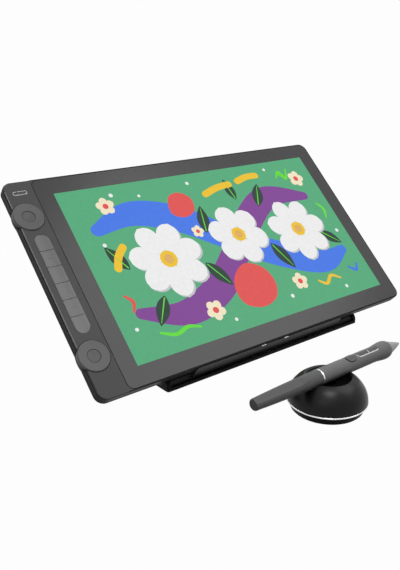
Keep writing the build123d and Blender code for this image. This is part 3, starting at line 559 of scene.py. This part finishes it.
def bevel_mesh(low, high):
    count = len(bevel_profile_mm)
    vertices = []
    for y in (low, high):
        vertices += [face_point(bevel_face_mm + out, y, height) for out, height in bevel_profile_mm]
    faces = [list(range(count)), [count + index for index in reversed(range(count))]]
    for index in range(count):
        after = (index + 1) % count
        faces.append([index, count + index, count + after, after])
    return new_mesh("panel_bevel_highlight", vertices, faces)


# Lighter than the panel's own grey: painted highlight of the light caught on the bevel
bevel_highlight_look = moulded("bevel_painted_highlight", grey(128), 0.4, 2600.0, 0.05, 0.06, 0.3)
for number, (low_end, high_end) in enumerate(bevel_runs_mm):
    bevel = new_piece(f"panel_bevel_highlight_{number}", bevel_mesh(low_end, high_end), bevel_highlight_look)
    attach(bevel, "tablet")

# Dark gasket in the joint round the cover glass
gasket_width_mm = 0.6
gasket_rise_mm = 0.03
gasket_lift_mm = 0.004
gasket_corner_mm = 7.0
gasket_steps = 10
glass_low_mm = (-18.44, -18.74)
glass_high_mm = (369.54, 215.14)


def rounded_outline(low, high, corner, growth):
    points = []
    reach = corner + growth
    middles = ((high[0] - corner, high[1] - corner, 0), (low[0] + corner, high[1] - corner, 90),
               (low[0] + corner, low[1] + corner, 180), (high[0] - corner, low[1] + corner, 270))
    for x, y, start in middles:
        for step in range(gasket_steps + 1):
            turn = radians(start + 90 * step / gasket_steps)
            points.append((x + reach * cos(turn), y + reach * sin(turn)))
    return points


def gasket_mesh():
    half = gasket_width_mm / 2
    rings = []
    for growth, height in ((-half, gasket_lift_mm), (half, gasket_lift_mm),
                           (half, gasket_rise_mm), (-half, gasket_rise_mm)):
        outline = rounded_outline(glass_low_mm, glass_high_mm, gasket_corner_mm, growth)
        rings.append([face_point(x, y, height) for x, y in outline])
    count = len(rings[0])
    faces = []
    for ring in range(len(rings)):
        after = (ring + 1) % len(rings)
        for index in range(count):
            ahead = (index + 1) % count
            faces.append([ring * count + index, ring * count + ahead,
                          after * count + ahead, after * count + index])
    return new_mesh("glass_gasket", [point for ring in rings for point in ring], faces)


gasket_look = moulded("gasket_black", grey(8), 0.7, 3500.0, 0.2, 0.1, 0.05)
gasket = new_piece("glass_gasket", gasket_mesh(), gasket_look)
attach(gasket, "tablet")

# Sky and floor, white to sight and dim as light
ambient_colour = (0.9, 0.92, 0.95, 1.0)
ambient_strength = 0.055
white_colour = (0.982, 0.982, 0.982, 1.0)
floor_half = 4.0
floor_colour = (0.2, 0.2, 0.2, 1.0)
floor_roughness = 0.9
floor_white_share = 0.98


def larger(tree, first, second):
    choice = tree.nodes.new("ShaderNodeMath")
    choice.operation = "MAXIMUM"
    tree.links.new(first, choice.inputs[0])
    tree.links.new(second, choice.inputs[1])
    return choice.outputs[0]


def white_to_sight(tree):
    path = tree.nodes.new("ShaderNodeLightPath")
    seen = larger(tree, path.outputs["Is Camera Ray"], path.outputs["Is Glossy Ray"])
    return larger(tree, seen, path.outputs["Is Transmission Ray"])


world = bpy.data.worlds.new("studio")
scene.world = world
world.use_nodes = True
sky = world.node_tree
ambient = sky.nodes["Background"]
ambient.inputs["Color"].default_value = ambient_colour
ambient.inputs["Strength"].default_value = ambient_strength
white = sky.nodes.new("ShaderNodeBackground")
white.inputs["Color"].default_value = white_colour
choice = sky.nodes.new("ShaderNodeMixShader")
sky.links.new(white_to_sight(sky), choice.inputs["Fac"])
sky.links.new(ambient.outputs["Background"], choice.inputs[1])
sky.links.new(white.outputs["Background"], choice.inputs[2])
sky.links.new(choice.outputs["Shader"], sky.nodes["World Output"].inputs["Surface"])

floor_mesh = new_mesh("floor", [(-floor_half, -floor_half, 0), (floor_half, -floor_half, 0),
                                (floor_half, floor_half, 0), (-floor_half, floor_half, 0)], [(0, 1, 2, 3)])
floor_paint, floor_tree, floor_shader = new_material("floor_pale")
floor_shader.inputs["Base Color"].default_value = floor_colour
floor_shader.inputs["Roughness"].default_value = floor_roughness
floor_shader.inputs["Specular IOR Level"].default_value = 0.0
floor_glow = floor_tree.nodes.new("ShaderNodeEmission")
floor_mix = floor_tree.nodes.new("ShaderNodeMixShader")
floor_share = floor_tree.nodes.new("ShaderNodeMath")
floor_share.operation = "MULTIPLY"
floor_share.inputs[1].default_value = floor_white_share
floor_tree.links.new(white_to_sight(floor_tree), floor_share.inputs[0])
floor_tree.links.new(floor_share.outputs[0], floor_mix.inputs["Fac"])
floor_tree.links.new(floor_shader.outputs["BSDF"], floor_mix.inputs[1])
floor_tree.links.new(floor_glow.outputs["Emission"], floor_mix.inputs[2])
floor_tree.links.new(floor_mix.outputs["Shader"], floor_tree.nodes["Material Output"].inputs["Surface"])
floor = new_piece("floor", floor_mesh, floor_paint)

# Lamps: name, place, point aimed at, width, height, power
lamps = (
    ("key_lamp", (0.67, -0.54, 1.18), (0.0, 0.07, 0.09), 0.92, 0.95, 8.3),
    ("left_lamp", (-0.85, -0.56, 0.72), (-0.05, 0.0, 0.08), 0.5, 0.5, 0.8),
    ("fill_lamp", (-0.3, -0.5, 1.12), (-0.04, -0.1, 0.04), 0.4, 0.34, 6.0),
    ("rear_lamp", (-0.06, 0.64, 1.07), (-0.04, 0.0, 0.05), 0.5, 0.5, 2.2),
    ("back_lamp", (0.2, 1.25, 0.62), (0.0, 0.1, 0.06), 2.6, 1.1, 12.0),
)

for name, place, aim, width, height, power in lamps:
    light = bpy.data.lights.new(name, "AREA")
    light.shape = "RECTANGLE"
    light.size = width
    light.size_y = height
    light.energy = power
    holder = bpy.data.objects.new(name, light)
    holder.location = place
    away = Vector(aim) - Vector(place)
    holder.rotation_euler = away.to_track_quat("-Z", "Y").to_euler()
    scene.collection.objects.link(holder)

camera_data = bpy.data.cameras.new("camera")
camera_data.lens = camera_lens
camera_data.sensor_width = camera_sensor
camera_data.clip_start = camera_near
camera = bpy.data.objects.new("camera", camera_data)
camera.location = camera_place
camera.rotation_euler = camera_turn
scene.collection.objects.link(camera)
scene.camera = camera

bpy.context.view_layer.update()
